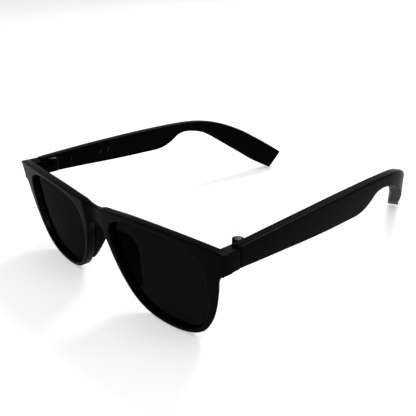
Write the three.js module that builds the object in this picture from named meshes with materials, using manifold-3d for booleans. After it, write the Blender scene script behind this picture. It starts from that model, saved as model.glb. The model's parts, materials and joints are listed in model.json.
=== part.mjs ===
// Audio smart glasses: a wrapped front with two dark lenses, and two folding temples that each
// hold a battery, a circuit board, a speaker, a microphone, a touch pad and charging contacts.
// Millimetres, +X to the wearer's left, +Y towards the ears, +Z up. The glasses stand on Z = 0
// on the bottoms of both rims and the ends of both ear hooks.
import * as THREE from "three";
import { mergeVertices } from "three/addons/utils/BufferGeometryUtils.js";
import Module from "manifold-3d";

const wasm = await Module();
wasm.setup();

// ---- driving dimensions -------------------------------------------------------------------
const HALF_WIDTH = 73;          // half of the front's overall width
const FACE_BOW = 6.4;           // how far the bridge stands ahead of the front's outer corners
const FACE_TILT = 0.16;         // the rims lean back this much for each millimetre down
const RIM_DEPTH = 4.0;          // front face to back face of the rims
const REST_TILT = -4.4;         // degrees: rims and ear hooks then touch one flat surface
const CLEARANCE = 0.3;          // gap between pieces that touch

const GROOVE = { near: 2.35, far: 3.45, depth: 0.7 };   // lens groove inside each rim
// A lens fills the opening, and a tongue round its edge sits in the groove.
const LENS = { near: 2.2, far: 3.85, inset: 0.3, tongue: 0.4, tongueNear: 2.65, tongueFar: 3.15 };
const SIDE_TAPER = 3.2;         // the rims' outer walls close in this much from front to back
const CORNER_RADIUS = 1.4;      // rounding of the front's upright outer corners
const BRIDGE_SCOOP = { halfWidth: 6.5, depth: 1.7 };    // hollow in the face of the bridge

const TEMPLE_THICKNESS = 4.8;
const SEAM_Y = 8.6;             // where the end piece stops and the temple starts
const HINGE = {
  x: 66, y: 14.4, barrel: 2.2, lowerBarrel: 1.9, top: 0.1, split: -3.15, bottom: -6.5,
  bore: 1.0, headRadius: 1.4, headSeat: 1.6, headHeight: 0.6, screwRadius: 0.8,
  insertRadius: 1.45, insertBore: 0.95,
};
const WALL = 0.85;              // shell wall of the temples
const COVER_THICKNESS = 0.9;

const OUTER_X = HALF_WIDTH;
const INNER_X = HALF_WIDTH - TEMPLE_THICKNESS;

// ---- materials ----------------------------------------------------------------------------
const finish = (color, roughness, metalness) => ({ color, roughness, metalness });
const FINISH = {
  frame: finish(0x0b0b0c, 0.42, 0),
  lens: finish(0x0a0b0b, 0.08, 0),
  pad: finish(0x101012, 0.6, 0),
  brass: finish(0xa08a45, 0.3, 1),
  board: finish(0x14432c, 0.5, 0),
  chip: finish(0x17181a, 0.45, 0),
  cell: finish(0x9a9ea3, 0.35, 0.8),
  driver: finish(0x3a3c40, 0.4, 0.5),
  mesh: finish(0x26272a, 0.4, 0.9),
  foil: finish(0xb5763a, 0.4, 0.6),
  gold: finish(0xc9a24a, 0.25, 1),
  light: finish(0xe8ecef, 0.2, 0),
};

// ---- solids -------------------------------------------------------------------------------
function toSolid(geometry) {
  const bare = geometry.index ? geometry.clone() : geometry;
  bare.deleteAttribute("normal");
  bare.deleteAttribute("uv");
  const welded = mergeVertices(bare, 1e-4);
  const mesh = new wasm.Mesh({
    numProp: 3,
    vertProperties: new Float32Array(welded.attributes.position.array),
    triVerts: new Uint32Array(welded.index.array),
  });
  return new wasm.Manifold(mesh);
}

function toGeometry(solid) {
  const mesh = solid.getMesh();
  const geometry = new THREE.BufferGeometry();
  geometry.setAttribute("position", new THREE.BufferAttribute(mesh.vertProperties, 3));
  geometry.setIndex(new THREE.BufferAttribute(mesh.triVerts, 1));
  return geometry;
}

function join(...solids) {
  return solids.reduce((sum, solid) => sum.add(solid));
}

function cut(solid, ...tools) {
  return tools.reduce((rest, tool) => rest.subtract(tool), solid);
}

// Moves every vertex of a geometry with move(point).
function reshape(geometry, move) {
  const position = geometry.attributes.position;
  const point = new THREE.Vector3();
  for (let i = 0; i < position.count; i += 1) {
    point.fromBufferAttribute(position, i);
    move(point);
    position.setXYZ(i, point.x, point.y, point.z);
  }
  return geometry;
}

// A flat outline in X and Z, made solid from y0 to y1.
function slabXZ(shape, y0, y1) {
  const geometry = new THREE.ExtrudeGeometry(shape, { depth: y1 - y0, bevelEnabled: false });
  geometry.rotateX(Math.PI / 2);
  return geometry.translate(0, y1, 0);
}

// A side outline in Y and Z, made solid from x0 to x1.
function slabYZ(shape, x0, x1) {
  const geometry = new THREE.ExtrudeGeometry(shape, {
    depth: x1 - x0, bevelEnabled: false, curveSegments: 4,
  });
  const turn = new THREE.Matrix4().makeBasis(
    new THREE.Vector3(0, 1, 0), new THREE.Vector3(0, 0, 1), new THREE.Vector3(1, 0, 0));
  return geometry.applyMatrix4(turn).translate(x0, 0, 0);
}

function block(x0, x1, y0, y1, z0, z1) {
  const geometry = new THREE.BoxGeometry(x1 - x0, y1 - y0, z1 - z0);
  return geometry.translate((x0 + x1) / 2, (y0 + y1) / 2, (z0 + z1) / 2);
}

function upright(x, y, radius, z0, z1, sides = 20) {
  const geometry = new THREE.CylinderGeometry(radius, radius, z1 - z0, sides);
  return geometry.rotateX(Math.PI / 2).translate(x, y, (z0 + z1) / 2);
}

function crosswise(y, z, radius, x0, x1, sides = 16) {
  const geometry = new THREE.CylinderGeometry(radius, radius, x1 - x0, sides);
  return geometry.rotateZ(Math.PI / 2).translate((x0 + x1) / 2, y, z);
}

// A rectangle in two axes with round corners, as a Shape.
function roundedRectangle(u0, u1, v0, v1, radius) {
  const shape = new THREE.Shape();
  shape.moveTo(u0 + radius, v0);
  shape.lineTo(u1 - radius, v0);
  shape.absarc(u1 - radius, v0 + radius, radius, -Math.PI / 2, 0);
  shape.lineTo(u1, v1 - radius);
  shape.absarc(u1 - radius, v1 - radius, radius, 0, Math.PI / 2);
  shape.lineTo(u0 + radius, v1);
  shape.absarc(u0 + radius, v1 - radius, radius, Math.PI / 2, Math.PI);
  shape.lineTo(u0, v0 + radius);
  shape.absarc(u0 + radius, v0 + radius, radius, Math.PI, Math.PI * 1.5);
  return shape;
}

// A skin over rings of equal length, closed at both ends by a fan.
function loft(rings) {
  const count = rings[0].length;
  const points = rings.flat();
  const faces = [];
  for (let r = 0; r + 1 < rings.length; r += 1) {
    for (let i = 0; i < count; i += 1) {
      const a = r * count + i;
      const b = r * count + (i + 1) % count;
      faces.push(a, b, b + count, a, b + count, a + count);
    }
  }
  const closeEnd = (ring, first, inwards) => {
    const middle = new THREE.Vector3();
    ring.forEach((point) => middle.addScaledVector(point, 1 / count));
    points.push(middle);
    for (let i = 0; i < count; i += 1) {
      const next = (i + 1) % count;
      const pair = inwards ? [next, i] : [i, next];
      faces.push(points.length - 1, first + pair[0], first + pair[1]);
    }
  };
  closeEnd(rings[0], 0, true);
  closeEnd(rings[rings.length - 1], (rings.length - 1) * count, false);
  const geometry = new THREE.BufferGeometry();
  const flat = points.flatMap((point) => [point.x, point.y, point.z]);
  geometry.setAttribute("position", new THREE.Float32BufferAttribute(flat, 3));
  geometry.setIndex(faces);
  return geometry;
}

function mirrorX(geometry) {
  const other = (geometry.index ? geometry.clone() : mergeVertices(geometry)).scale(-1, 1, 1);
  const index = Array.from(other.index.array);
  for (let i = 0; i < index.length; i += 3) {
    [index[i], index[i + 1]] = [index[i + 1], index[i]];
  }
  other.setIndex(index);
  return other;
}

// ---- outlines of the front ----------------------------------------------------------------
const vectors = (pairs) => pairs.map(([u, v]) => new THREE.Vector2(u, v));

// Left half of the front's outline, from the top of the bridge round to its underside.
const BROW = [[0, -1.95], [2, -1.85], [4, -1.5], [6, -0.8], [8, -0.35], [11, -0.05], [15, 0.3],
  [21, 0.85], [28, 1.3], [40, 1.6], [52, 1.55], [62, 1.2], [69, 0.75], [72.7, 0.15]];
const CORNER = [[73, 0], [73, -7.7], [72.5, -8.25]];
const RIM_OUTSIDE = [[71.2, -8.45], [70.3, -9.3], [69.85, -12], [68.9, -18], [66.9, -25.5], [63.7, -32.5],
  [58.4, -38.9], [50, -42.9], [39, -44.2], [28.5, -42.8], [20.5, -38.6], [14.2, -31.2],
  [10, -23], [7.3, -15.5], [4.4, -10.9], [0, -9.5]];
// The lens opening, nasal top corner first, clockwise as the wearer's friend sees it.
const OPENING = [[10.6, -9.5], [13.4, -5], [22, -1.7], [34, -0.6], [47, -0.7], [57.5, -3.4],
  [62.6, -9.5], [63.6, -18], [62.6, -27], [58.8, -35.6], [51, -40.7], [39.5, -42.2],
  [28.5, -41], [20, -35.8], [13.8, -26], [11, -16.5]];

const OPENING_STEPS = 60;

function openingOutline(growth) {
  const curve = new THREE.SplineCurve(vectors([...OPENING, OPENING[0]]));
  const points = curve.getSpacedPoints(OPENING_STEPS).slice(0, OPENING_STEPS);
  return points.map((point, i) => {
    const before = points[(i + OPENING_STEPS - 1) % OPENING_STEPS];
    const after = points[(i + 1) % OPENING_STEPS];
    const along = after.clone().sub(before).normalize();
    return new THREE.Vector2(point.x - along.y * growth, point.y + along.x * growth);
  });
}

function frontOutline() {
  const brow = new THREE.SplineCurve(vectors(BROW)).getSpacedPoints(20);
  const outside = new THREE.SplineCurve(vectors(RIM_OUTSIDE)).getSpacedPoints(40);
  const half = [...brow, ...vectors(CORNER), ...outside];
  const other = half.slice(1, -1).reverse().map((point) => new THREE.Vector2(-point.x, point.y));
  return new THREE.Shape([...half, ...other]);
}

function faceY(x, z) {
  return -FACE_BOW * (1 - (x / HALF_WIDTH) ** 2) - FACE_TILT * z;
}

// Rises from 0 to 1 as t does, level at both ends.
function smooth(t) {
  const share = THREE.MathUtils.clamp(t, 0, 1);
  return share * share * (3 - 2 * share);
}

// Wraps a flat front to the bow and tilt of the glasses' face.
function wrap(geometry) {
  return reshape(geometry, (point) => {
    point.y += faceY(point.x, point.z);
  });
}

const mirrored = (points) => points.map((point) => new THREE.Vector2(-point.x, point.y));

// ---- front body ---------------------------------------------------------------------------
function makeFrontFrame() {
  const opening = openingOutline(0);
  const groove = openingOutline(GROOVE.depth);
  const plate = toSolid(reshape(slabXZ(frontOutline(), 0, RIM_DEPTH), (point) => {
    const side = smooth((Math.abs(point.x) - 50) / 16) * smooth((-8 - point.z) / 5);
    const share = point.y / RIM_DEPTH;
    point.x -= Math.sign(point.x) * SIDE_TAPER * side * share;
  }));
  const holes = [opening, mirrored(opening)].map((line) =>
    toSolid(slabXZ(new THREE.Shape(line), -1, RIM_DEPTH + 1)));
  const grooves = [groove, mirrored(groove)].map((line) =>
    toSolid(slabXZ(new THREE.Shape(line), GROOVE.near, GROOVE.far)));
  const { halfWidth, depth } = BRIDGE_SCOOP;
  const scoopRadius = (halfWidth ** 2 + depth ** 2) / (2 * depth);
  const scoop = toSolid(upright(0, depth - scoopRadius, scoopRadius, -15, 5, 120));
  const flat = cut(plate, ...holes, ...grooves, scoop, ...[1, -1].map(cornerRounding));
  const face = toSolid(wrap(toGeometry(flat)));
  const arms = [1, -1].map((side) => toSolid(sided(makeEndPiece(), side)));
  return toGeometry(join(face, ...arms));
}

// What is cut off an upright outer corner to round it.
function cornerRounding(side) {
  const centre = HALF_WIDTH - CORNER_RADIUS;
  const square = block(centre, HALF_WIDTH + 1, -1, CORNER_RADIUS, -9, 2);
  const round = upright(centre, CORNER_RADIUS, CORNER_RADIUS, -10, 3, 32);
  const tool = cut(toSolid(square), toSolid(round));
  return side > 0 ? tool : toSolid(mirrorX(toGeometry(tool)));
}

const sided = (geometry, side) => (side > 0 ? geometry : mirrorX(geometry));

// The left end piece behind the front's corner, with the lower knuckle of its hinge.
function makeEndPiece() {
  const armTop = 0.15;
  const armBottom = -7.8;
  const armInner = HINGE.x + 0.3;
  const innerX = HINGE.x - HINGE.lowerBarrel;
  const webX = HINGE.x + HINGE.lowerBarrel;
  const webEnd = HINGE.y - HINGE.barrel - CLEARANCE;
  const lugTop = HINGE.split - 0.05;
  const arm = toSolid(block(armInner, OUTER_X, 2.4, SEAM_Y, armBottom, armTop));
  const web = toSolid(block(armInner, webX, 5, webEnd, HINGE.bottom, armTop));
  const lug = toSolid(block(innerX, webX, 4.2, HINGE.y, HINGE.bottom, lugTop));
  const barrel = toSolid(upright(HINGE.x, HINGE.y, HINGE.lowerBarrel, HINGE.bottom, lugTop));
  const seat = toSolid(upright(HINGE.x, HINGE.y, HINGE.insertRadius + 0.2,
    HINGE.bottom - 1, HINGE.split + 1));
  // The top falls away towards the head.
  const slope = new THREE.Shape(vectors([[60, -1.6], [OUTER_X + 0.1, armTop], [OUTER_X + 0.1, 3], [60, 3]]));
  const slant = toSolid(slabXZ(slope, 4.5, webEnd + 1));
  return toGeometry(cut(join(arm, web, lug, barrel), slant, seat));
}

// A lens follows the face, so it is built in rings from its middle outwards.
function makeLens() {
  const middle = new THREE.Vector2(37.5, -21);
  const inner = openingOutline(-LENS.inset);
  const tongue = openingOutline(LENS.tongue);
  const ringAt = (line, fraction, y) => line.map((point) => {
    const p = middle.clone().lerp(point, fraction);
    return new THREE.Vector3(p.x, y, p.y);
  });
  const neck = LENS.tongueNear - 0.15;
  const nape = LENS.tongueFar + 0.15;
  return wrap(loft([
    ringAt(inner, 0.35, LENS.near),
    ringAt(inner, 0.7, LENS.near),
    ringAt(inner, 1, LENS.near),
    ringAt(inner, 1, neck),
    ringAt(tongue, 1, LENS.tongueNear),
    ringAt(tongue, 1, LENS.tongueFar),
    ringAt(inner, 1, nape),
    ringAt(inner, 1, LENS.far),
    ringAt(inner, 0.7, LENS.far),
    ringAt(inner, 0.35, LENS.far),
  ]));
}

// A silicone nose pad behind the nasal side of the left rim.
const PAD_STATIONS = [
  { z: -12.6, x: 5.9, reach: 0.5, depth: 0.45 },
  { z: -14.6, x: 7.2, reach: 0.85, depth: 0.85 },
  { z: -17.5, x: 8.4, reach: 1, depth: 1.15 },
  { z: -21, x: 9.7, reach: 1, depth: 1.22 },
  { z: -24.5, x: 11.2, reach: 0.9, depth: 1.08 },
  { z: -28, x: 13, reach: 0.8, depth: 0.85 },
  { z: -31.5, x: 15, reach: 0.7, depth: 0.58 },
  { z: -35.5, x: 17.9, reach: 0.6, depth: 0.28 },
];
const PAD_SECTION = [[-0.5, 0], [-0.45, 2.1], [-0.2, 4.1], [0.4, 5.5], [1.4, 6.1], [2.5, 6],
  [3.3, 5.1], [3.2, 3.2], [2.6, 1.5], [2.1, 0]];

function makeNosePad() {
  const rings = PAD_STATIONS.map(({ z, x, reach, depth }) => {
    const root = faceY(x, z) + RIM_DEPTH + CLEARANCE;
    return PAD_SECTION.map(([u, v]) =>
      new THREE.Vector3(x + Math.max(u, 0) * reach + Math.min(u, 0), root + v * depth, z));
  });
  return loft(rings);
}

function makeHingeScrew() {
  const top = HINGE.top + 0.1;
  const under = top - HINGE.headHeight;
  const head = toSolid(upright(HINGE.x, HINGE.y, HINGE.headRadius, under, top, 28));
  const shank = toSolid(upright(HINGE.x, HINGE.y, HINGE.screwRadius, HINGE.bottom + 0.6, under + 0.1));
  const slot = toSolid(block(HINGE.x - 2, HINGE.x + 2, HINGE.y - 0.15, HINGE.y + 0.15,
    top - 0.25, top + 1));
  return toGeometry(cut(join(head, shank), slot));
}

function makeHingeInsert() {
  const tube = toSolid(upright(HINGE.x, HINGE.y, HINGE.insertRadius,
    HINGE.bottom + 0.2, HINGE.split - 0.3));
  const bore = toSolid(upright(HINGE.x, HINGE.y, HINGE.insertBore,
    HINGE.bottom - 1, HINGE.split + 1));
  return toGeometry(cut(tube, bore));
}

// ---- temple -------------------------------------------------------------------------------
// Side view of the left temple, front to back: an upper point and the lower point across from it.
const TEMPLE_SIDE = [
  [[8.9, 0.55], [8.9, -7.6]], [[20, 1.2], [20, -7.95]], [[34, 1.9], [34, -8.4]],
  [[50, 2.5], [50, -9.05]], [[64, 2.95], [64, -9.35]], [[76, 3.2], [75, -9.4]],
  [[84, 3.3], [83, -9.35]], [[90, 3.35], [88.5, -8.4]], [[96, 3.35], [93.5, -6.2]],
  [[101, 3.25], [98.5, -3.2]], [[106, 3.1], [103.5, -2.2]], [[113, 2.65], [110, -2.8]],
  [[120, 1.8], [117, -4.6]], [[128, 0.1], [123.5, -7.8]], [[136, -2.6], [131, -12.5]],
  [[145, -7], [140, -18.6]], [[155, -13.7], [150, -25.9]], [[166.6, -21.9], [160, -32]],
];
// Seen from above, the temple leans in towards the head by this much at each distance back.
const TEMPLE_LEAN = [[0, 0], [15, 0], [30, 0.05], [50, 0.4], [70, 1], [85, 1.6], [95, 2.1],
  [105, 2.65], [115, 3.5], [125, 5.5], [135, 9.6], [145, 15.3], [155, 21.4], [169, 28.1]];

const LEAN_CURVE = new THREE.SplineCurve(TEMPLE_LEAN.map(([y, x]) => new THREE.Vector2(y, x)));

function leanAt(y) {
  let low = 0;
  let high = 1;
  for (let i = 0; i < 24; i += 1) {
    const middle = (low + high) / 2;
    if (LEAN_CURVE.getPoint(middle).x < y) {
      low = middle;
    } else {
      high = middle;
    }
  }
  return LEAN_CURVE.getPoint(low).y;
}

// Moves what was built straight on to the temple's lean.
function lean(geometry) {
  return reshape(geometry, (point) => {
    point.x -= leanAt(point.y);
  });
}

// The hook is thicker than the rest of the temple, and its outer top edge is rounder.
const HOOK = { from: 100, over: 25, thicker: 0.8, round: 1.3 };
const SECTION_STEPS = 2;

// Round-cornered cross-section between an upper and a lower point of the side view.
function templeSection(upper, lower, inner, outer) {
  const ring = [];
  const span = upper.clone().sub(lower);
  const height = span.length();
  const hook = smooth((lower.x - HOOK.from) / HOOK.over);
  const face = inner - HOOK.thicker * hook;
  const corners = [
    { u: 1, v: 0, r: 0.45 }, { u: 1, v: 1, r: 1.0 + HOOK.round * hook },
    { u: 0, v: 1, r: 0.5 }, { u: 0, v: 0, r: 0.5 },
  ];
  corners.forEach(({ u, v, r }, corner) => {
    const radius = r;
    const cx = (u ? outer - radius : face + radius);
    const cv = (v ? height - radius : radius) / height;
    for (let step = 0; step <= SECTION_STEPS; step += 1) {
      const angle = (corner - 1 + step / SECTION_STEPS) * Math.PI / 2;
      const along = cv + radius * Math.sin(angle) / height;
      const x = cx + radius * Math.cos(angle);
      const point = lower.clone().addScaledVector(span, along);
      const turn = Math.atan(leanAt(point.x + 0.5) - leanAt(point.x - 0.5));
      const inwards = outer - x;
      ring.push(new THREE.Vector3(
        outer - leanAt(point.x) - inwards * Math.cos(turn),
        point.x - inwards * Math.sin(turn),
        point.y,
      ));
    }
  });
  return ring.reverse();
}

const TEMPLE_STATIONS = 46;

function makeTempleBody() {
  const top = new THREE.SplineCurve(vectors(TEMPLE_SIDE.map(([upper]) => upper)));
  const bottom = new THREE.SplineCurve(vectors(TEMPLE_SIDE.map(([, lower]) => lower)));
  const rings = [];
  for (let i = 0; i <= TEMPLE_STATIONS; i += 1) {
    const t = i / TEMPLE_STATIONS;
    rings.push(templeSection(top.getPoint(t), bottom.getPoint(t), INNER_X, OUTER_X));
  }
  return toSolid(loft(rings));
}

// The hollow for the electronics follows the temple's upper and lower edges.
const POCKET = { y0: 21, y1: 87, margin: 1.9, ledge: 0.8 };

function edgeHeight(row, y) {
  const points = TEMPLE_SIDE.map((pair) => pair[row]);
  const next = points.findIndex(([station]) => station >= y);
  const [y0, z0] = points[next - 1];
  const [y1, z1] = points[next];
  return z0 + (z1 - z0) * (y - y0) / (y1 - y0);
}

function pocketOutline(inset) {
  const y0 = POCKET.y0 + inset;
  const y1 = POCKET.y1 - inset;
  const steps = 12;
  const margin = POCKET.margin + inset;
  const upper = [];
  const lower = [];
  for (let i = 0; i <= steps; i += 1) {
    const y = y0 + (y1 - y0) * i / steps;
    upper.push(new THREE.Vector2(y, edgeHeight(0, y) - margin));
    lower.push(new THREE.Vector2(y, edgeHeight(1, y) + margin));
  }
  return new THREE.Shape([...lower, ...upper.reverse()]);
}

const SPEAKER_SLOT = { y0: 68, y1: 81, x0: INNER_X + 1.6, x1: OUTER_X - 1.5 };
const MIC_Y = 27;
const BUTTON = { y0: 33, y1: 40, width: 2.0, travel: 0.5 };

function makeTempleShell(withButton) {
  const body = makeTempleBody();
  const coverBed = toSolid(lean(slabYZ(pocketOutline(-POCKET.ledge), INNER_X - 1,
    INNER_X + COVER_THICKNESS + CLEARANCE)));
  const cavity = toSolid(lean(slabYZ(pocketOutline(0), INNER_X, OUTER_X - WALL)));
  const slot = toSolid(lean(block(SPEAKER_SLOT.x0, SPEAKER_SLOT.x1, SPEAKER_SLOT.y0, SPEAKER_SLOT.y1,
    -12, -6)));
  const port = toSolid(lean(upright(INNER_X + 2.4, MIC_Y, 0.5, -12, -5, 16)));
  const web = toSolid(block(HINGE.x, INNER_X + 1, HINGE.y - HINGE.barrel + 0.1,
    HINGE.y + HINGE.barrel - 0.1, HINGE.split + 0.05, HINGE.top));
  const barrel = toSolid(upright(HINGE.x, HINGE.y, HINGE.barrel, HINGE.split + 0.05, HINGE.top));
  const bore = toSolid(upright(HINGE.x, HINGE.y, HINGE.bore, HINGE.split - 1, HINGE.top + 1));
  const seat = toSolid(upright(HINGE.x, HINGE.y, HINGE.headSeat,
    HINGE.top + 0.1 - HINGE.headHeight - 0.2, HINGE.top + 1));
  const tools = [coverBed, cavity, slot, port, bore, seat];
  if (withButton) {
    tools.push(buttonHole(CLEARANCE, -12, -5));
  }
  return toGeometry(cut(join(body, web, barrel), ...tools));
}

// A round-ended upright prism for the button on a temple's underside.
function buttonHole(growth, z0, z1) {
  const middle = (INNER_X + COVER_THICKNESS + OUTER_X) / 2 + 0.1;
  const half = BUTTON.width / 2 + growth;
  const shape = roundedRectangle(middle - half, middle + half, BUTTON.y0 - growth,
    BUTTON.y1 + growth, half * 0.98);
  const geometry = new THREE.ExtrudeGeometry(shape, {
    depth: z1 - z0, bevelEnabled: false, curveSegments: 4,
  });
  return toSolid(lean(geometry.translate(0, 0, z0)));
}

const PIN_YS = [44, 49];
const PIN_Z = -3.2;
const LIGHT_Y = 26;

function makeTempleCover(withLight) {
  const plate = toSolid(lean(slabYZ(pocketOutline(CLEARANCE - POCKET.ledge), INNER_X,
    INNER_X + COVER_THICKNESS)));
  const holes = PIN_YS.map((y) =>
    toSolid(lean(crosswise(y, PIN_Z, 1.25, INNER_X - 1, INNER_X + 2))));
  if (withLight) {
    holes.push(toSolid(lean(crosswise(LIGHT_Y, PIN_Z, 0.85, INNER_X - 1, INNER_X + 2))));
  }
  return toGeometry(cut(plate, ...holes));
}

const CAVITY = { x0: INNER_X + COVER_THICKNESS + CLEARANCE, x1: OUTER_X - WALL - CLEARANCE };

function makeBattery() {
  return lean(slabYZ(roundedRectangle(44, 65.5, -6.1, 0, 1.2), CAVITY.x0, CAVITY.x1 - 0.15));
}

function makeBoard() {
  const back = CAVITY.x1 - 0.5;
  return lean(slabYZ(roundedRectangle(22.6, 43, -3.6, -1.1, 0.4), back - 0.5, back));
}

function makeChip() {
  const back = CAVITY.x1 - 1.0 - CLEARANCE;
  return lean(block(CAVITY.x0, back, 28.5, 33, -3.4, -1.3));
}

function makeTouchPad() {
  return lean(slabYZ(roundedRectangle(22.6, 43, -3.6, -1.1, 0.4), CAVITY.x1 - 0.2, CAVITY.x1));
}

function makeSpeaker() {
  return lean(slabYZ(roundedRectangle(67.5, 82.5, -6.7, 0.9, 3.6), CAVITY.x0, CAVITY.x1 - 0.15));
}

function makeSpeakerMesh() {
  const gap = 0.25;
  const { x0, x1, y0, y1 } = SPEAKER_SLOT;
  return lean(block(x0 + gap, x1 - gap, y0 + gap, y1 - gap, -8.9, -8.3));
}

function makeMicrophone() {
  return lean(block(CAVITY.x0, CAVITY.x1, MIC_Y - 1.5, MIC_Y + 1.5, -5.2, -4.0));
}

function makePin(y) {
  return lean(crosswise(y, PIN_Z, 0.95, INNER_X, INNER_X + COVER_THICKNESS));
}

function makeLightPipe() {
  return lean(crosswise(LIGHT_Y, PIN_Z, 0.55, INNER_X, INNER_X + COVER_THICKNESS + 0.1));
}

function makeButton() {
  return toGeometry(buttonHole(0, -8.85, -6.0));
}

function makeSwitch() {
  return lean(block(CAVITY.x0, CAVITY.x1, 34.5, 38.5, -5.2, -4.0));
}

// ---- assembly -----------------------------------------------------------------------------
const glasses = new THREE.Group();

function addPiece(parent, name, geometry, look) {
  const mesh = new THREE.Mesh(geometry, new THREE.MeshStandardMaterial(look));
  mesh.name = name;
  parent.add(mesh);
}

const front = new THREE.Group();
glasses.add(front);
addPiece(front, "front_frame", makeFrontFrame(), FINISH.frame);

for (const [label, side] of [["left", 1], ["right", -1]]) {
  addPiece(front, `lens_${label}`, sided(makeLens(), side), FINISH.lens);
  addPiece(front, `nose_pad_${label}`, sided(makeNosePad(), side), FINISH.pad);
  addPiece(front, `hinge_screw_${label}`, sided(makeHingeScrew(), side), FINISH.brass);
  addPiece(front, `hinge_insert_${label}`, sided(makeHingeInsert(), side), FINISH.brass);

  const temple = new THREE.Group();
  glasses.add(temple);
  const hasButton = side < 0;
  const pieces = [
    ["temple_shell", makeTempleShell(hasButton), FINISH.frame],
    ["temple_cover", makeTempleCover(hasButton), FINISH.frame],
    ["battery", makeBattery(), FINISH.cell],
    ["circuit_board", makeBoard(), FINISH.board],
    ["radio_chip", makeChip(), FINISH.chip],
    ["touch_pad", makeTouchPad(), FINISH.foil],
    ["speaker", makeSpeaker(), FINISH.driver],
    ["speaker_mesh", makeSpeakerMesh(), FINISH.mesh],
    ["microphone", makeMicrophone(), FINISH.cell],
    ["charge_pin_front", makePin(PIN_YS[0]), FINISH.gold],
    ["charge_pin_rear", makePin(PIN_YS[1]), FINISH.gold],
  ];
  if (hasButton) {
    pieces.push(["power_button", makeButton(), FINISH.frame]);
    pieces.push(["button_switch", makeSwitch(), FINISH.cell]);
    pieces.push(["status_light", makeLightPipe(), FINISH.light]);
  }
  for (const [name, geometry, look] of pieces) {
    addPiece(temple, `${name}_${label}`, sided(geometry, side), look);
  }
}

// Tip the glasses on to their resting points, then stand them on Z = 0 over the origin.
glasses.rotation.x = THREE.MathUtils.degToRad(REST_TILT);
glasses.updateMatrixWorld(true);
const bounds = new THREE.Box3().setFromObject(glasses, true);
const centre = bounds.getCenter(new THREE.Vector3());
glasses.position.set(-centre.x, -centre.y, -bounds.min.z);

export default glasses;
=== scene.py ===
import bisect
import json
import math
import bmesh
import bpy
from mathutils import Matrix, Vector, geometry


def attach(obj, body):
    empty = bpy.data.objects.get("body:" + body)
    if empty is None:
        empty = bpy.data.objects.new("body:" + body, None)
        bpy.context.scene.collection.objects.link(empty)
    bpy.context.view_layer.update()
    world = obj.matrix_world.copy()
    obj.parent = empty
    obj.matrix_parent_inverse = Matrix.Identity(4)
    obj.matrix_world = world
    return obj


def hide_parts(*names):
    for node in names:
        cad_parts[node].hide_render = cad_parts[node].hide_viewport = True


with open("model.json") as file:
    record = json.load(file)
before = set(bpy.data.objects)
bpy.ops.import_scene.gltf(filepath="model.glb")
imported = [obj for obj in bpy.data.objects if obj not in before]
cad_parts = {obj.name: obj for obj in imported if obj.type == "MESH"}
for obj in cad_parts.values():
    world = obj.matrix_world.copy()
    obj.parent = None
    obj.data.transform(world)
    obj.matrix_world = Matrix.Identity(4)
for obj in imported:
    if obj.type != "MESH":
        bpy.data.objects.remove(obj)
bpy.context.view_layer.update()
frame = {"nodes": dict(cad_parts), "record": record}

# Audio smart glasses. Pieces are drawn in the glasses' own millimetres: +X to the wearer's left,
# +Y towards the ears, +Z up, with the lenses upright. PLACE puts them on their resting points.

# ---- front: sizes ---------------------------------------------------------------------------
HALF_WIDTH = 73
FACE_BOW = 6.4
FACE_TILT = 0.16
RIM_DEPTH = 4.0
SIDE_TAPER = 3.2
CLEARANCE = 0.3
SEAM_Y = 8.6
CORNER_ROUND = 1.35
EDGE_ROUND = 0.55
OPENING_ROUND = 0.42
BACK_ROUND = 0.3
BRIDGE_TOP, BRIDGE_BOTTOM = -1.95, -9.5
# The lens groove's section: depth into the rim, and distance behind the front.
GROOVE = ((0, 2.35), (0.7, 2.36), (0.7, 3.45), (0, 3.46))
ARM_BOTTOM = -7.8
ARM_FALL = 0.05

# ---- temples: sizes -------------------------------------------------------------------------
OUTER_X = HALF_WIDTH
INNER_X = 68.2
COVER = 0.9
WALL = 0.85
POCKET_Y = (21, 87)
POCKET_MARGIN = 1.9
BED_STEP = 0.8
# A height under the temple, where the tools that cut up into it begin.
BELOW = -12
KEY_Y = (33, 40)
KEY_HALF_WIDTH = 1.0
KEY_EASE = 0.12
SPEAKER_Y = (68, 81)
SPEAKER_INNER, SPEAKER_OUTER = INNER_X + 1.6, OUTER_X - 1.5
PORT_X, PORT_Y = INNER_X + 2.4, 27
FITTINGS_Z = -3.2
CONTACTS_Y = (44, 49)
LIGHT_Y = 26

# ---- hinge: sizes. Each barrel stops a setback short of the joint's own height ---------------
HINGE = Vector((66, 14.4, -3.15))
BARREL_SETBACK = 0.05
UPPER_BARREL, LOWER_BARREL, HINGE_TOP, HINGE_BOTTOM = 2.2, 1.9, 0.1, -6.5
SCREW_TOP = HINGE_TOP + 0.1

# ---- from the glasses' own frame to the CAD frame -------------------------------------------
fold = next(j for j in frame["record"]["behaviour"]["joints"] if j["name"] == "left_temple_fold")
up = Vector(fold["axis"])
TILT = -math.atan2(up.y, up.z)
TURN = Matrix.Rotation(TILT, 4, "X")
PLACE = Matrix.Translation(Vector(fold["pos_m"])) @ TURN @ Matrix.Scale(0.001, 4) @ Matrix.Translation(-HINGE)


# ---- curves ---------------------------------------------------------------------------------
def catmull(points, t):
    spot = t * (len(points) - 1)
    i = min(int(spot), len(points) - 2)
    w = spot - i
    p1, p2 = points[i], points[i + 1]
    p0 = points[max(i - 1, 0)]
    p3 = points[min(i + 2, len(points) - 1)]
    out = []
    for a, b, c, d in zip(p0, p1, p2, p3):
        v0, v1 = (c - a) / 2, (d - b) / 2
        out.append((2 * b - 2 * c + v0 + v1) * w ** 3 + (-3 * b + 3 * c - 2 * v0 - v1) * w * w + v0 * w + b)
    return out


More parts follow.
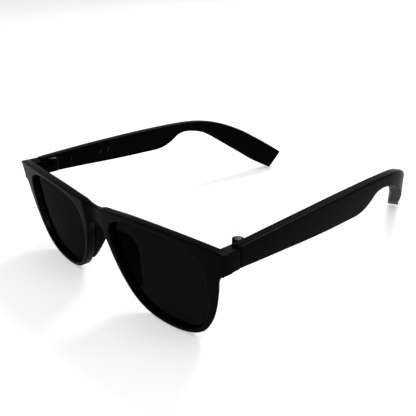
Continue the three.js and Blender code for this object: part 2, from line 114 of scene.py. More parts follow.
def smooth_line(points, steps):
    fine = [Vector(catmull(points, i / 1500)) for i in range(1501)]
    run = [0.0]
    for a, b in zip(fine, fine[1:]):
        run.append(run[-1] + (b - a).length)
    out = []
    for i in range(steps + 1):
        want = run[-1] * i / steps
        k = min(max(bisect.bisect_left(run, want), 1), 1500)
        w = (want - run[k - 1]) / (run[k] - run[k - 1])
        out.append(fine[k - 1].lerp(fine[k], w))
    return out


def smooth(t):
    t = min(max(t, 0), 1)
    return t * t * (3 - 2 * t)


def table(rows, y):
    i = 1
    while i < len(rows) - 1 and rows[i][0] < y:
        i += 1
    (a, p), (b, q) = rows[i - 1], rows[i]
    return p + (q - p) * (y - a) / (b - a)


def quarter(steps):
    """Angles of a quarter turn, both ends included."""
    return [(math.pi / 2) * i / steps for i in range(steps + 1)]


# ---- meshes ---------------------------------------------------------------------------------
def add(name, data):
    made = bpy.data.objects.new(name, data)
    bpy.context.scene.collection.objects.link(made)
    return made


def band(a, b, count):
    """Quads between ring a and ring b of a mesh whose rings have count points each."""
    return [(a * count + i, a * count + (i + 1) % count, b * count + (i + 1) % count, b * count + i)
            for i in range(count)]


def new_piece(name, points, faces, side=1):
    bm = bmesh.new()
    for p in points:
        bm.verts.new((p[0] * side, p[1], p[2]))
    bm.verts.ensure_lookup_table()
    for face in faces:
        corners = list(dict.fromkeys(face))
        if len(corners) > 2:
            try:
                bm.faces.new([bm.verts[i] for i in corners])
            except ValueError:
                pass  # the face is there already
    bmesh.ops.remove_doubles(bm, verts=bm.verts, dist=1e-5)
    bmesh.ops.dissolve_degenerate(bm, edges=bm.edges, dist=1e-5)
    bmesh.ops.recalc_face_normals(bm, faces=bm.faces)
    mesh = bpy.data.meshes.new(name)
    bm.to_mesh(mesh)
    bm.free()
    return add(name, mesh)


def loft(name, rings, side=1):
    """Rings of equal length, joined by quads and closed by a fan at each end."""
    count = len(rings[0])
    points = [p for ring in rings for p in ring]
    faces = []
    for r in range(len(rings) - 1):
        faces += band(r, r + 1, count)
    for ring, start in ((rings[0], 0), (rings[-1], (len(rings) - 1) * count)):
        points.append(sum((Vector(p) for p in ring), Vector()) / count)
        faces += [(len(points) - 1, start + i, start + (i + 1) % count) for i in range(count)]
    return new_piece(name, points, faces, side)


def combine(piece, tools, operation):
    for tool in tools:
        step = piece.modifiers.new(operation, "BOOLEAN")
        step.operation = operation
        step.solver = "MANIFOLD"
        step.object = tool
        with bpy.context.temp_override(object=piece, active_object=piece):
            bpy.ops.object.modifier_apply(modifier=step.name)
        bpy.data.objects.remove(tool)
    return piece


def prism(name, outline, a, b, axis, bevel=0.0, side=1):
    """An outline pushed out along X, Y or Z, with its end rims rounded by offset rings."""
    turns = {
        "X": lambda u, v, w: (w, u, v),
        "Y": lambda u, v, w: (u, w, v),
        "Z": lambda u, v, w: (u, v, w)}
    turn = turns[axis]
    area = sum(p[0] * q[1] - q[0] * p[1] for p, q in zip(outline, outline[1:] + outline[:1]))
    sign = 1 if area > 0 else -1
    count = len(outline)

    def shrunk(offset):
        ring = []
        for i, p in enumerate(outline):
            before, after = outline[i - 1], outline[(i + 1) % count]
            e1 = (Vector(p) - Vector(before)).normalized()
            e2 = (Vector(after) - Vector(p)).normalized()
            n = Vector((-(e1.y + e2.y), e1.x + e2.x)) * sign
            scale = n.length_squared / 2
            ring.append(Vector(p) + n * (offset / max(scale, 0.5)))
        return ring

    rings = []
    stops = quarter(3) if bevel else [0]
    for s in stops:
        rings.append((bevel * (1 - math.sin(s)), a + bevel * (1 - math.cos(s))))
    for s in reversed(stops):
        rings.append((bevel * (1 - math.sin(s)), b - bevel * (1 - math.cos(s))))
    rows = [[turn(p.x, p.y, w) for p in shrunk(offset)] for offset, w in rings]
    points = [p for row in rows for p in row]
    faces = [tuple(range(count)), tuple(range((len(rows) - 1) * count, len(rows) * count))]
    for r in range(len(rows) - 1):
        faces += band(r, r + 1, count)
    return new_piece(name, points, faces, side)


def disc(u, v, radius, steps=48):
    return [(u + radius * math.cos(2 * math.pi * i / steps), v + radius * math.sin(2 * math.pi * i / steps))
            for i in range(steps)]


def box_outline(u0, u1, v0, v1, radius, steps=5):
    out = []
    for cu, cv, start in ((u1 - radius, v0 + radius, -1), (u1 - radius, v1 - radius, 0),
                          (u0 + radius, v1 - radius, 1), (u0 + radius, v0 + radius, 2)):
        for i in range(steps + 1):
            a = (start + i / steps) * math.pi / 2
            out.append((cu + radius * math.cos(a), cv + radius * math.sin(a)))
    return out


def reshape(piece, move):
    for vertex in piece.data.vertices:
        vertex.co = move(vertex.co.copy())
    piece.data.update()
    return piece


SHARP_ANGLE = math.radians(32)


def finished(piece, body, look, nodes):
    """Puts a piece in the CAD frame, shades it, and ties it to its body and its CAD nodes."""
    piece.data.transform(PLACE)
    piece.data.materials.clear()
    piece.data.materials.append(look)
    for face in piece.data.polygons:
        face.use_smooth = True
    bm = bmesh.new()
    bm.from_mesh(piece.data)
    bmesh.ops.remove_doubles(bm, verts=bm.verts, dist=2e-6)
    bmesh.ops.recalc_face_normals(bm, faces=bm.faces)
    for edge in bm.edges:
        edge.smooth = len(edge.link_faces) == 2 and edge.calc_face_angle(0) < SHARP_ANGLE
    bm.to_mesh(piece.data)
    bm.free()
    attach(piece, body)
    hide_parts(*nodes)
    return piece


# ---- materials ------------------------------------------------------------------------------
def material(name, color, roughness, metallic=0.0, specular=0.5, grain=0.0, scale=900.0,
             mottle=0.12, scratches=0.0):
    """Cloudy colour and roughness, with fine grain, and brushed lines where scratches is over 0."""
    made = bpy.data.materials.new(name)
    made.use_nodes = True
    nodes, links = made.node_tree.nodes, made.node_tree.links
    shader = nodes["Principled BSDF"]
    shader.inputs["Metallic"].default_value = metallic
    shader.inputs["Specular IOR Level"].default_value = specular
    place = nodes.new("ShaderNodeTexCoord")
    cloud = nodes.new("ShaderNodeTexNoise")
    cloud.inputs["Scale"].default_value = scale / 12
    cloud.inputs["Detail"].default_value = 5
    links.new(place.outputs["Object"], cloud.inputs["Vector"])
    ramp = nodes.new("ShaderNodeValToRGB")
    ramp.color_ramp.elements[0].position = 0.3
    ramp.color_ramp.elements[1].position = 0.7
    ramp.color_ramp.elements[0].color = [c * (1 - mottle) for c in color] + [1]
    ramp.color_ramp.elements[1].color = [c * (1 + mottle) for c in color] + [1]
    links.new(cloud.outputs["Fac"], ramp.inputs["Fac"])
    links.new(ramp.outputs["Color"], shader.inputs["Base Color"])
    grit = nodes.new("ShaderNodeTexNoise")
    grit.inputs["Scale"].default_value = scale
    grit.inputs["Detail"].default_value = 3
    links.new(place.outputs["Object"], grit.inputs["Vector"])
    spread = nodes.new("ShaderNodeMapRange")
    spread.inputs["To Min"].default_value = roughness * 0.88
    spread.inputs["To Max"].default_value = roughness * 1.12
    links.new(cloud.outputs["Fac"], spread.inputs["Value"])
    links.new(spread.outputs["Result"], shader.inputs["Roughness"])
    height = grit.outputs["Fac"]
    if scratches:
        stretch = nodes.new("ShaderNodeMapping")
        stretch.inputs["Scale"].default_value = (scale, scale * 0.04, scale)
        links.new(place.outputs["Object"], stretch.inputs["Vector"])
        lines = nodes.new("ShaderNodeTexNoise")
        lines.inputs["Scale"].default_value = 1.0
        links.new(stretch.outputs["Vector"], lines.inputs["Vector"])
        blend = nodes.new("ShaderNodeMix")
        blend.inputs[0].default_value = scratches
        links.new(grit.outputs["Fac"], blend.inputs[2])
        links.new(lines.outputs["Fac"], blend.inputs[3])
        height = blend.outputs[0]
    bump = nodes.new("ShaderNodeBump")
    bump.inputs["Strength"].default_value = grain
    bump.inputs["Distance"].default_value = 0.00004
    links.new(height, bump.inputs["Height"])
    links.new(bump.outputs["Normal"], shader.inputs["Normal"])
    return made


def lens_material():
    """Dark tinted plastic: light passes through a deep grey, with a little surface reflection."""
    made = material("lens_tint", (0.0035, 0.0037, 0.0036), 0.06, specular=0.02, scale=300, mottle=0.05)
    nodes, links = made.node_tree.nodes, made.node_tree.links
    shader, output = nodes["Principled BSDF"], nodes["Material Output"]
    clear = nodes.new("ShaderNodeBsdfTransparent")
    clear.inputs["Color"].default_value = (0.066, 0.068, 0.067, 1)
    mix = nodes.new("ShaderNodeMixShader")
    mix.inputs[0].default_value = 0.93
    links.new(shader.outputs[0], mix.inputs[1])
    links.new(clear.outputs[0], mix.inputs[2])
    links.new(mix.outputs[0], output.inputs["Surface"])
    return made


NYLON = material("black_nylon", (0.0006, 0.0006, 0.0007), 0.33, specular=0.012, grain=0.25, scale=2600)
LENS = lens_material()
SILICONE = material("black_silicone", (0.0007, 0.0007, 0.0008), 0.6, specular=0.01, grain=0.3, scale=1800)
BRASS = material("dull_brass", (0.09, 0.08, 0.034), 0.38, metallic=1, grain=0.3, scale=1500, scratches=0.6)
GOLD = material("gold_plate", (0.006, 0.005, 0.003), 0.3, metallic=1, grain=0.15, scale=1500)
FOIL = material("cell_foil", (0.55, 0.56, 0.58), 0.35, metallic=0.9, grain=0.5, scale=700)
BOARD = material("solder_mask", (0.01, 0.07, 0.035), 0.4, grain=0.3, scale=1200, mottle=0.3)
CHIP = material("moulded_chip", (0.012, 0.012, 0.014), 0.5, grain=0.4, scale=2200)
COPPER = material("copper_foil", (0.6, 0.26, 0.1), 0.3, metallic=1, grain=0.3, scale=1100)
WIRE = material("black_steel", (0.06, 0.06, 0.065), 0.35, metallic=1, grain=0.3, scale=1500)
CAN = material("pressed_can", (0.2, 0.21, 0.22), 0.3, metallic=1, grain=0.3, scale=900)
GLASSY = material("light_pipe", (0.004, 0.004, 0.005), 0.25, specular=0.1, grain=0.05, scale=600)

# ---- outlines of the front ------------------------------------------------------------------
BROW = [[0, BRIDGE_TOP], [2, -1.85], [4, -1.5], [6, -0.8], [8, -0.35], [11, -0.05], [15, 0.3],
        [21, 0.85], [28, 1.3], [40, 1.6], [52, 1.55], [62, 1.2], [69, 0.75], [72.7, 0.15]]
RIM_OUTSIDE = [[71.2, -8.45], [70.3, -9.3], [69.85, -12], [68.9, -18], [66.9, -25.5], [63.7, -32.5],
               [58.4, -38.9], [50, -42.9], [39, -44.2], [28.5, -42.8], [20.5, -38.6], [14.2, -31.2],
               [10, -23], [7.3, -15.5], [4.4, -10.9], [0, BRIDGE_BOTTOM]]
OPENING = [[10.6, -9.5], [13.4, -5], [22, -1.7], [34, -0.6], [47, -0.7], [57.5, -3.4], [62.6, -9.5],
           [63.6, -18], [62.6, -27], [58.8, -35.6], [51, -40.7], [39.5, -42.2], [28.5, -41],
           [20, -35.8], [13.8, -26], [11, -16.5]]
LENS_CENTRE = Vector((34, -19))
OPENING_LINE = smooth_line(OPENING + [OPENING[0]], 240)[:-1]


def face_y(x, z):
    return -FACE_BOW * (1 - (x / HALF_WIDTH) ** 2) - FACE_TILT * z


def normals(line, closed=True):
    out = []
    count = len(line)
    for i in range(count):
        a = line[i - 1] if closed or i else line[i]
        b = line[(i + 1) % count] if closed or i + 1 < count else line[i]
        e = (b - a).normalized()
        out.append(Vector((-e.y, e.x)))
    return out


def opening_at(angle):
    """The point of the lens opening seen from its centre at an angle."""
    best = OPENING_LINE[0]
    ray = Vector((math.cos(angle), math.sin(angle)))
    for a, b in zip(OPENING_LINE, OPENING_LINE[1:] + OPENING_LINE[:1]):
        hit = geometry.intersect_line_line_2d(LENS_CENTRE, LENS_CENTRE + ray * 90, a, b)
        if hit:
            best = hit
            break
    return best


def outward_at(point):
    """The opening's normal nearest a point of it, towards the rim."""
    k = min(range(len(OPENING_LINE)), key=lambda i: (OPENING_LINE[i] - point).length_squared)
    e = (OPENING_LINE[(k + 1) % len(OPENING_LINE)] - OPENING_LINE[k - 1]).normalized()
    n = Vector((-e.y, e.x))
    return n if n.dot(point - LENS_CENTRE) > 0 else -n


def scoop(x):
    half, depth = 6.5, 1.7
    radius = (half * half + depth * depth) / (2 * depth)
    return max(0.0, depth - radius + math.sqrt(max(radius * radius - x * x, 0))) if abs(x) < half else 0.0


def rim_stations():
    """Points round one half of the front, each with its inward direction and its edge's radius."""
    rim = [(p, EDGE_ROUND) for p in smooth_line(BROW, 96)]
    rim += [(Vector((HALF_WIDTH, z)), CORNER_ROUND) for z in (-0.2, -0.9, -2, -3.5, -5, -6.6)]
    rim += [(Vector((73, -7.75)), 1.2), (Vector((72.8, -8.15)), 0.8), (Vector((72.3, -8.32)), 0.4)]
    rim += [(p, EDGE_ROUND) for p in smooth_line(RIM_OUTSIDE, 190)]
    rows = []
    for (p, r), n in zip(rim, normals([p for p, _ in rim], closed=False)):
        rows.append((p, n if n.dot(LENS_CENTRE - p) > 0 else -n, r))
    rows[0] = (rows[0][0], Vector((0, -1)), EDGE_ROUND)
    rows[-1] = (rows[-1][0], Vector((0, 1)), EDGE_ROUND)
    # The middle line, from the underside of the bridge back up to its top.
    low, high = BRIDGE_BOTTOM + EDGE_ROUND, BRIDGE_TOP - EDGE_ROUND
    steps = 26
    for i in range(steps + 1):
        z = low + (high - low) * i / steps
        rows.append((Vector((0, z)), Vector((1, 0)), 0.0))
    return rows


def on_front(point, y, curved=0.0):
    """A point of the flat front, y behind it. Low down on the outer side the rim narrows backwards."""
    side = smooth((abs(point.x) - 50) / 16) * smooth((-8 - point.y) / 5)
    return (point.x - SIDE_TAPER * side * y / RIM_DEPTH, y + curved, point.y)


def rim_profile(p, inward, r):
    """One closed section of the rim: outer edge, front, opening, lens groove, back."""
    hole = opening_at(math.atan2(p.y - LENS_CENTRE.y, p.x - LENS_CENTRE.x))
    out = outward_at(hole)
    arc, across = quarter(4), 16
    profile = []
    for a in reversed(arc):
        q = p + inward * r * (1 - math.sin(a))
        profile.append(on_front(q, r * (1 - math.cos(a)), scoop(q.x)))
    start, end = p + inward * r, hole + out * OPENING_ROUND
    for k in range(1, across):
        q = start.lerp(end, k / across)
        profile.append(on_front(q, 0, scoop(q.x)))
    for a in arc:
        q = hole + out * OPENING_ROUND * (1 - math.sin(a))
        profile.append(on_front(q, OPENING_ROUND * (1 - math.cos(a)), scoop(q.x)))
    for depth, y in GROOVE:
        profile.append(on_front(hole + out * depth, y))
    for a in arc:
        q = hole + out * BACK_ROUND * (1 - math.cos(a))
        profile.append(on_front(q, RIM_DEPTH - BACK_ROUND * (1 - math.sin(a))))
    last = min(r, 0.5)
    back = p + inward * last
    for k in range(1, 6):
        q = (hole + out * BACK_ROUND).lerp(back, k / 6)
        profile.append(on_front(q, RIM_DEPTH))
    for a in arc:
        q = p + inward * last * (1 - math.sin(a))
        profile.append(on_front(q, RIM_DEPTH - last * (1 - math.cos(a))))
    return profile


def front_half():
    profiles = [rim_profile(*row) for row in rim_stations()]
    points = [p for profile in profiles for p in profile]
    faces = []
    for s in range(len(profiles)):
        faces += band(s, (s + 1) % len(profiles), len(profiles[0]))
    return points, faces


def make_front():
    points, faces = front_half()
    bm = bmesh.new()
    for side in (1, -1):
        made = [bm.verts.new((x * side, y, z)) for x, y, z in points]
        for face in faces:
            if all(abs(points[i][0]) < 1e-4 for i in face):
                continue
            corners = [made[i] for i in dict.fromkeys(face)]
            if len(corners) > 2:
                bm.faces.new(corners)
    bmesh.ops.remove_doubles(bm, verts=bm.verts, dist=2e-3)
    for vertex in bm.verts:
        vertex.co.y += face_y(vertex.co.x, vertex.co.z)
    bmesh.ops.recalc_face_normals(bm, faces=bm.faces)
    mesh = bpy.data.meshes.new("front")
    bm.to_mesh(mesh)
    bm.free()
    whole = add("front", mesh)
    for side in (1, -1):
        combine(whole, [end_piece(side)], "UNION")
    return whole


def end_piece(side):
    """Behind the front's corner: an arm out to the seam, and the lower knuckle of the hinge."""
    inner, outer = HINGE.x - LOWER_BARREL, HINGE.x + LOWER_BARREL
    arm_inner = HINGE.x + 0.3
    web_end = HINGE.y - UPPER_BARREL - CLEARANCE
    lug_top = HINGE.z - BARREL_SETBACK

    def slant(x):
        return -1.6 + (x - 60) * 1.75 / 13.1

    arm = [(arm_inner, ARM_BOTTOM), (72.7, ARM_BOTTOM), (73, -7.5), (73, -0.3), (72.9, -0.1),
           (72.6, slant(72.6)), (arm_inner + 0.3, slant(arm_inner + 0.3)),
           (arm_inner, slant(arm_inner) - 0.3)]
    made = prism("arm", arm, 2.4, SEAM_Y, "Y", bevel=0.1, side=side)
    # Its underside falls towards the front's corner.
    reshape(made, lambda p: Vector((p.x, p.y, p.z - (ARM_FALL * (SEAM_Y - p.y) if p.z < -7 else 0))))
    web = [(arm_inner, HINGE_BOTTOM), (outer, HINGE_BOTTOM), (outer, slant(outer)),
           (arm_inner + 0.3, slant(arm_inner + 0.3)), (arm_inner, slant(arm_inner) - 0.3)]
    combine(made, [prism("web", web, 5, web_end, "Y", bevel=0.1, side=side)], "UNION")
    lug = prism("lug", [(inner, 4.2), (outer, 4.2), (outer, HINGE.y), (inner, HINGE.y)],
                HINGE_BOTTOM, lug_top, "Z", bevel=0.12, side=side)
    barrel = prism("barrel", disc(HINGE.x, HINGE.y, LOWER_BARREL, 64), HINGE_BOTTOM, lug_top, "Z", bevel=0.12,
                   side=side)
    combine(made, [lug, barrel], "UNION")
    seat = prism("seat", disc(HINGE.x, HINGE.y, 1.65, 48), HINGE_BOTTOM - 1, HINGE.z + 1, "Z", side=side)
    return combine(made, [seat], "DIFFERENCE")


def make_lens(side):
    """A curved sheet with a tongue round its edge that sits in the rim's groove."""
    def ring(growth, y, share=1.0):
        turned = normals(OPENING_LINE)
        out = []
        for p, n in zip(OPENING_LINE, turned):
            away = n if n.dot(p - LENS_CENTRE) > 0 else -n
            q = LENS_CENTRE.lerp(p + away * growth, share)
            out.append((q.x, y + face_y(q.x, q.y), q.y))
        return out

    shares = [i / 22 for i in range(2, 22)]
    rings = [ring(-0.45, 2.2, s) for s in shares]
    rings += [ring(-0.45, 2.2), ring(-0.34, 2.24), ring(-0.3, 2.32), ring(-0.3, 2.5), ring(0.4, 2.65)]
    rings += [ring(0.4, 3.15), ring(-0.3, 3.3), ring(-0.3, 3.72), ring(-0.34, 3.81), ring(-0.45, 3.85)]
    rings += [ring(-0.45, 3.85, s) for s in reversed(shares)]
    return loft("lens", rings, side)


# Each station: height, distance from the middle, and the section's scale across and in depth.
PAD_STATIONS = [(-12.6, 5.9, 0.5, 0.45), (-14.6, 7.2, 0.85, 0.85), (-17.5, 8.4, 1, 1.15),
                (-21, 9.7, 1, 1.22), (-24.5, 11.2, 0.9, 1.08), (-28, 13, 0.8, 0.85),
                (-31.5, 15, 0.7, 0.58), (-35.5, 17.9, 0.6, 0.28)]
PAD_SECTION = [(-0.5, 0), (-0.45, 2.1), (-0.2, 4.1), (0.4, 5.5), (1.4, 6.1), (2.5, 6), (3.3, 5.1),
               (3.2, 3.2), (2.6, 1.5), (2.1, 0)]


def make_nose_pad(side):
    edge = [Vector(p) for p in smooth_line(PAD_SECTION, 44)]
    edge += [Vector((2.1 - 2.6 * i / 8, 0)) for i in range(1, 8)]
    middle = Vector((1.4, 2.2))
    rings = []
    steps = 56
    for i in range(steps + 1):
        z, x, reach, depth = catmull(PAD_STATIONS, i / steps)
        end = min(i, steps - i) / 4
        share = 0.55 + 0.45 * math.sqrt(max(0, 1 - (1 - min(end, 1)) ** 2))
        root = face_y(x, z) + RIM_DEPTH + CLEARANCE + 0.02
        ring = []
        for p in edge:
            q = middle.lerp(p, share)
            q.y = max(q.y, 0)
            ring.append((x + max(q.x, 0) * reach + min(q.x, 0), root + q.y * depth, z))
        rings.append(ring)
    return loft("pad", rings, side)


# ---- temples --------------------------------------------------------------------------------
# Upper and lower edge, pair by pair from the seam to the hook's end.
TEMPLE_SIDE = [
    [[8.9, 0.55], [8.9, -7.6]], [[20, 1.2], [20, -7.95]], [[34, 1.9], [34, -8.4]],
    [[50, 2.5], [50, -9.05]], [[64, 2.95], [64, -9.35]], [[76, 3.2], [75, -9.4]],
    [[84, 3.3], [83, -9.35]], [[90, 3.35], [88.5, -8.4]], [[96, 3.35], [93.5, -6.2]],
    [[101, 3.25], [98.5, -3.2]], [[106, 3.1], [103.5, -2.2]], [[113, 2.65], [110, -2.8]],
    [[120, 1.8], [117, -4.6]], [[128, 0.1], [123.5, -7.8]], [[136, -2.6], [131, -12.5]],
    [[145, -7], [140, -18.6]], [[155, -13.7], [150, -25.9]], [[166.6, -21.9], [160, -32]]]
# How far each temple leans towards the head, against the distance back.
TEMPLE_LEAN = [[0, 0], [15, 0], [30, 0.05], [50, 0.4], [70, 1], [85, 1.6], [95, 2.1], [105, 2.65],
               [115, 3.5], [125, 5.5], [135, 9.6], [145, 15.3], [155, 21.4], [169, 28.1]]
LEAN_TABLE = [catmull(TEMPLE_LEAN, i / 800) for i in range(801)]
LEAN_YS = [row[0] for row in LEAN_TABLE]


def lean_at(y):
    k = min(max(bisect.bisect_left(LEAN_YS, y), 1), 800)
    (a, p), (b, q) = LEAN_TABLE[k - 1], LEAN_TABLE[k]
    return p + (q - p) * (y - a) / (b - a)


def lean(piece, side):
    return reshape(piece, lambda p: Vector((p.x - side * lean_at(p.y), p.y, p.z)))


def temple_ring(upper, lower, shrink=0.0, back=0.0):
    """The section between an upper and a lower edge point, rounder and thicker along the hook."""
    upper, lower = Vector(upper), Vector(lower)
    span = upper - lower
    away = Vector((span.y, -span.x)).normalized()
    upper += away * back - span.normalized() * shrink
    lower += away * back + span.normalized() * shrink
    span = upper - lower
    height = span.length
    hook = smooth((lower.x - 100) / 25)
    inner, outer = INNER_X + shrink - 0.8 * hook, OUTER_X - shrink
    ring = []
    for corner, (u, v, r) in enumerate(((1, 0, 0.45), (1, 1, 1.0 + 1.3 * hook), (0, 1, 0.5), (0, 0, 0.5))):
        cx = outer - r if u else inner + r
        cv = (height - r if v else r) / height
        for i in range(7):
            a = (corner - 1 + i / 6) * math.pi / 2
            x = cx + r * math.cos(a)
            p = lower + span * (cv + r * math.sin(a) / height)
            turn = math.atan(lean_at(p.x + 0.5) - lean_at(p.x - 0.5))
            inwards = OUTER_X - x
            ring.append((OUTER_X - lean_at(p.x) - inwards * math.cos(turn),
                         p.x - inwards * math.sin(turn), p.y))
    return ring


def edge_height(row, y):
    return table([pair[row] for pair in TEMPLE_SIDE], y)


def pocket_outline(inset, steps=66):
    y0, y1 = POCKET_Y[0] + inset, POCKET_Y[1] - inset
    margin = POCKET_MARGIN + inset
    r = min(max(0.25, 0.6 - inset), 0.85)
    low, high = [], []
    for i in range(steps + 1):
        y = y0 + (y1 - y0) * i / steps
        low.append((y, edge_height(1, y) + margin))
        high.append((y, edge_height(0, y) - margin))

    def rounded(a, b, c):
        a, b, c = Vector(a), Vector(b), Vector(c)
        p = b + (a - b).normalized() * r
        q = b + (c - b).normalized() * r
        return [tuple(p.lerp(b, t).lerp(b.lerp(q, t), t)) for t in (0, 0.25, 0.5, 0.75, 1)]

    out = rounded(high[0], low[0], low[1]) + low[1:-1] + rounded(low[-2], low[-1], high[-1])
    high.reverse()
    return out + rounded(low[-1], high[0], high[1]) + high[1:-1] + rounded(high[-2], high[-1], low[0])


def button_outline(growth):
    middle = (INNER_X + COVER + OUTER_X) / 2 + 0.1
    half = KEY_HALF_WIDTH + growth
    return box_outline(middle - half, middle + half, KEY_Y[0] - growth, KEY_Y[1] + growth, half * 0.98, 10)


def make_shell(side, with_button):
    top = [pair[0] for pair in TEMPLE_SIDE]
    bottom = [pair[1] for pair in TEMPLE_SIDE]
    steps = 170
    rings = []
    for back, shrink in ((0.0, 0.3), (0.08, 0.12), (0.3, 0.0)):
        rings.append(temple_ring(top[0], bottom[0], shrink, back))
    for i in range(2, steps - 1):
        rings.append(temple_ring(catmull(top, i / steps), catmull(bottom, i / steps)))
    for back, shrink in ((-0.6, 0.0), (-0.28, 0.08), (-0.08, 0.28), (0.0, 0.6)):
        rings.append(temple_ring(top[-1], bottom[-1], shrink, back))
    shell = loft("shell", rings, side)
    near, far = HINGE.y - UPPER_BARREL + 0.1, HINGE.y + UPPER_BARREL - 0.1
    barrel_bottom = HINGE.z + BARREL_SETBACK
    web = prism("web", [(HINGE.x, near), (INNER_X + 1, near), (INNER_X + 1, far), (HINGE.x, far)],
                barrel_bottom, HINGE_TOP, "Z", bevel=0.12, side=side)
    barrel = prism("barrel", disc(HINGE.x, HINGE.y, UPPER_BARREL, 64), barrel_bottom, HINGE_TOP, "Z",
                   bevel=0.18, side=side)
    combine(shell, [web, barrel], "UNION")
    speaker_slot = box_outline(SPEAKER_INNER, SPEAKER_OUTER, *SPEAKER_Y, 0.5)
    leaning = [
        prism("bed", pocket_outline(-BED_STEP), INNER_X - 1, INNER_X + COVER + CLEARANCE, "X", side=side),
        prism("cavity", pocket_outline(0), INNER_X, OUTER_X - WALL, "X", side=side),
        prism("slot", speaker_slot, BELOW, -6, "Z", side=side),
        prism("port", disc(PORT_X, PORT_Y, 0.5, 32), BELOW, -5, "Z", side=side)]
    upright = [
        prism("bore", disc(HINGE.x, HINGE.y, 1.0, 32), HINGE.z - 1, HINGE_TOP + 1, "Z", side=side),
        prism("seat", disc(HINGE.x, HINGE.y, 1.6, 64), HINGE_TOP - 0.7, HINGE_TOP + 1, "Z", side=side)]
    tools = [lean(tool, side) for tool in leaning] + upright
    if with_button:
        tools.append(lean(prism("hole", button_outline(CLEARANCE), BELOW, -5, "Z", side=side), side))
    return combine(shell, tools, "DIFFERENCE")


def make_cover(side, with_light):
    cover = prism("cover", pocket_outline(CLEARANCE - BED_STEP), INNER_X, INNER_X + COVER, "X",
                  bevel=0.15, side=side)
    through = (INNER_X - 1, INNER_X + 2, "X")
    holes = [prism("pin", disc(y, FITTINGS_Z, 1.25, 40), *through, side=side) for y in CONTACTS_Y]
    if with_light:
        holes.append(prism("light", disc(LIGHT_Y, FITTINGS_Z, 0.85, 32), *through, side=side))
    combine(cover, holes, "DIFFERENCE")
    return lean(cover, side)


def make_screw(side):
    """A flat head with a slot across it, on a plain shank."""
    head = prism("head", disc(HINGE.x, HINGE.y, 1.4, 64), SCREW_TOP - 0.6, SCREW_TOP, "Z",
                 bevel=0.12, side=side)
    shank = prism("shank", disc(HINGE.x, HINGE.y, 0.8, 40), HINGE_BOTTOM + 0.6, SCREW_TOP - 0.5, "Z",
                  bevel=0.1, side=side)
    combine(head, [shank], "UNION")
    slot_line = [(HINGE.x + u, HINGE.y + v) for u, v in ((-2, -0.15), (2, -0.15), (2, 0.15), (-2, 0.15))]
    slot = prism("slot", slot_line, SCREW_TOP - 0.25, SCREW_TOP + 1, "Z", side=side)
    return combine(head, [slot], "DIFFERENCE")


def make_pin(side, y):
    """A contact with a rounded rim and a shallow dish in its face."""
    rear = INNER_X + COVER
    turned = ((0.3, rear), (0.9, rear), (0.95, rear - 0.08), (0.95, INNER_X + 0.15),
              (0.88, INNER_X + 0.03), (0.78, INNER_X), (0.68, INNER_X + 0.05),
              (0.4, INNER_X + 0.11), (0.15, INNER_X + 0.13))
    rings = [[(x, u, v) for u, v in disc(y, FITTINGS_Z, radius, 40)] for radius, x in turned]
    return lean(loft("pin", rings, side), side)


def make_light(side):
    turned = ((0.3, INNER_X + 1), (0.55, INNER_X + 1), (0.55, INNER_X + 0.12), (0.5, INNER_X + 0.03),
              (0.38, INNER_X))
    rings = [[(x, u, v) for u, v in disc(LIGHT_Y, FITTINGS_Z, radius, 32)] for radius, x in turned]
    return lean(loft("light", rings, side), side)


def make_button(side):
    """A long key whose pressed face has soft edges and a slight dish."""
    rings = []
    outline = button_outline(-KEY_EASE)
    centre = Vector((sum(p[0] for p in outline) / len(outline), sum(KEY_Y) / 2))
    for share, z in ((0.5, -6.0), (0.97, -6.0), (1.0, -6.08), (1.0, -8.55), (0.96, -8.72),
                     (0.86, -8.82), (0.6, -8.85), (0.25, -8.8)):
        ring = []
        for p in outline:
            q = centre + (Vector(p) - centre) * share
            if share > 0.9:
                away = Vector(p) - centre
                q = Vector(p) - away.normalized() * (1 - share) * 3
            ring.append((q.x, q.y, z))
        rings.append(ring)
    return lean(loft("button", rings, side), side)


def make_speaker_mesh(side):
    """A plate of round holes in staggered rows, in the speaker's slot."""
    gap = 0.25
    x0, x1 = SPEAKER_INNER + gap, SPEAKER_OUTER - gap
    y0, y1 = SPEAKER_Y[0] + gap, SPEAKER_Y[1] - gap
    z0, z1 = -8.9, -8.3
    columns, rows = 3, 27
    du, dv = (x1 - x0) / columns, (y1 - y0) / rows
    points, faces = [], []
    for i in range(columns):
        for j in range(rows):
            cu, cv = x0 + (i + 0.5) * du, y0 + (j + 0.5) * dv
            start = len(points)
            for z in (z0, z1):
                for k in range(8):
                    a = math.pi / 4 * k
                    reach = 1 / max(abs(math.cos(a)), abs(math.sin(a)))
                    points.append((cu + math.cos(a) * reach * du / 2, cv + math.sin(a) * reach * dv / 2, z))
                for k in range(8):
                    a = math.pi / 4 * k
                    points.append((cu + 0.32 * du * math.cos(a), cv + 0.32 * dv * math.sin(a), z))
            for k in range(8):
                n = (k + 1) % 8
                lower = (start + k, start + n, start + 8 + n, start + 8 + k)
                upper = tuple(v + 16 for v in lower)
                faces += [lower, upper, (start + 8 + k, start + 8 + n, start + 24 + n, start + 24 + k)]
                u = (points[start + k][0] + points[start + n][0]) / 2
                v = (points[start + k][1] + points[start + n][1]) / 2
                if min(abs(u - x0), abs(u - x1), abs(v - y0), abs(v - y1)) < 1e-4:
                    faces.append((start + k, start + n, start + 16 + n, start + 16 + k))
    return lean(new_piece("mesh", points, faces, side), side)


# ---- camera, lights, floor ------------------------------------------------------------------
EYE, AIM = Vector((200.188, -125.461, 91.237)), Vector((2.005, 59.273, -19.789))
CAMERA_RIGHT = Vector((0.68185, 0.73149, 0))
FOCAL_LENGTH, SENSOR = 51.17, 36
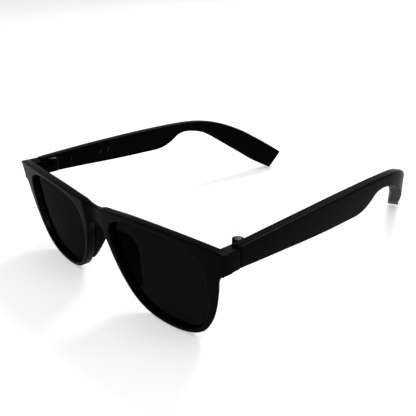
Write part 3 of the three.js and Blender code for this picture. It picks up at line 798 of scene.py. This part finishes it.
# Each softbox: name, place and aim in metres, diameter, watts.
SOFTBOXES = (
    ("key", (-0.2, 0.65, 0.78), (0, 0, 0), 0.35, 6.0),
    ("above", (0.2, -0.1, 1.1), (0, 0, 0), 0.9, 3.0),
    ("front", (0.78, -0.72, 0.12), (0, -0.05, 0.02), 0.2, 7.0),
    ("side", (0.9, 0.75, 0.3), (0, 0.03, 0.02), 0.3, 2.5))
SKY_STRENGTH = 0.7
FLOOR_HALF, FLOOR_Z, FLOOR_GLOW = 6, -0.0001, 0.34


def make_camera():
    eye, aim = PLACE @ EYE, PLACE @ AIM
    right = (TURN.to_3x3() @ CAMERA_RIGHT).normalized()
    back = (eye - aim).normalized()
    above = back.cross(right).normalized()
    right = above.cross(back).normalized()
    data = bpy.data.cameras.new("camera")
    data.sensor_width = SENSOR
    data.lens = FOCAL_LENGTH
    data.clip_start = 0.01
    data.clip_end = 50
    camera = add("camera", data)
    turned = Matrix((right, above, back)).transposed().to_4x4()
    camera.matrix_world = Matrix.Translation(eye) @ turned
    bpy.context.scene.camera = camera


def make_lights():
    for name, place, aim, size, power in SOFTBOXES:
        lamp = bpy.data.lights.new(name, "AREA")
        lamp.shape = "DISK"
        lamp.size = size
        lamp.energy = power
        softbox = add(name, lamp)
        softbox.location = place
        softbox.rotation_euler = (Vector(aim) - Vector(place)).to_track_quat("-Z", "Y").to_euler()
    world = bpy.data.worlds.new("studio")
    world.use_nodes = True
    sky = world.node_tree.nodes["Background"]
    sky.inputs["Color"].default_value = (1, 1, 1, 1)
    sky.inputs["Strength"].default_value = SKY_STRENGTH
    bpy.context.scene.world = world
    bpy.context.scene.view_settings.view_transform = "Standard"


def make_floor():
    mesh = bpy.data.meshes.new("floor")
    corners = [(u * FLOOR_HALF, v * FLOOR_HALF, FLOOR_Z) for u, v in ((-1, -1), (1, -1), (1, 1), (-1, 1))]
    mesh.from_pydata(corners, [], [(0, 1, 2, 3)])
    floor = add("floor", mesh)
    paper = material("pale_floor", (0.66, 0.66, 0.66), 0.7, specular=0.05, scale=20, mottle=0.01)
    shader = paper.node_tree.nodes["Principled BSDF"]
    shader.inputs["Emission Color"].default_value = (1, 1, 1, 1)
    shader.inputs["Emission Strength"].default_value = FLOOR_GLOW
    floor.data.materials.append(paper)


make_camera()
make_lights()
make_floor()

# ---- the pieces, each on its body and in place of its CAD node -------------------------------
front = finished(make_front(), "front", NYLON, ["front_frame"])
front.name = "front_rims"
for label, side in (("left", 1), ("right", -1)):
    body = label + "_temple"
    right_side = side < 0
    made = [
        (make_lens(side), "lens_tinted", "front", "lens", LENS, ["lens"]),
        (make_nose_pad(side), "nose_pad_soft", "front", "pad", SILICONE, ["nose_pad"]),
        (make_screw(side), "hinge_screw_slotted", "front", "brass", BRASS, ["hinge_screw"]),
        (make_shell(side, right_side), "temple_arm", body, "frame", NYLON, ["temple_shell"]),
        (make_cover(side, right_side), "temple_inner_cover", body, "frame", NYLON, ["temple_cover"]),
        (make_speaker_mesh(side), "speaker_grille", body, "mesh", WIRE, ["speaker_mesh"]),
        (make_pin(side, CONTACTS_Y[0]), "charge_contact_front", body, "gold", GOLD, ["charge_pin_front"]),
        (make_pin(side, CONTACTS_Y[1]), "charge_contact_rear", body, "gold", GOLD, ["charge_pin_rear"])]
    if right_side:
        made.append((make_button(side), "power_key", "button", "frame", NYLON, ["power_button"]))
        made.append((make_light(side), "status_window", body, "light", GLASSY, ["status_light"]))
    for piece, name, rides, slot, look, nodes in made:
        piece.name = name + "_" + label
        finished(piece, rides, look, [node + "_" + label for node in nodes])

# ---- the parts inside keep their CAD shapes --------------------------------------------------
INSIDE = {"battery": FOIL, "circuit_board": BOARD, "radio_chip": CHIP, "touch_pad": COPPER, "speaker": CAN,
          "microphone": FOIL, "button_switch": FOIL, "hinge_insert": BRASS}
for name, node in frame["nodes"].items():
    kind = name.rsplit("_", 1)[0]
    if kind in INSIDE:
        node.data.materials.clear()
        node.data.materials.append(INSIDE[kind])

bpy.context.view_layer.update()
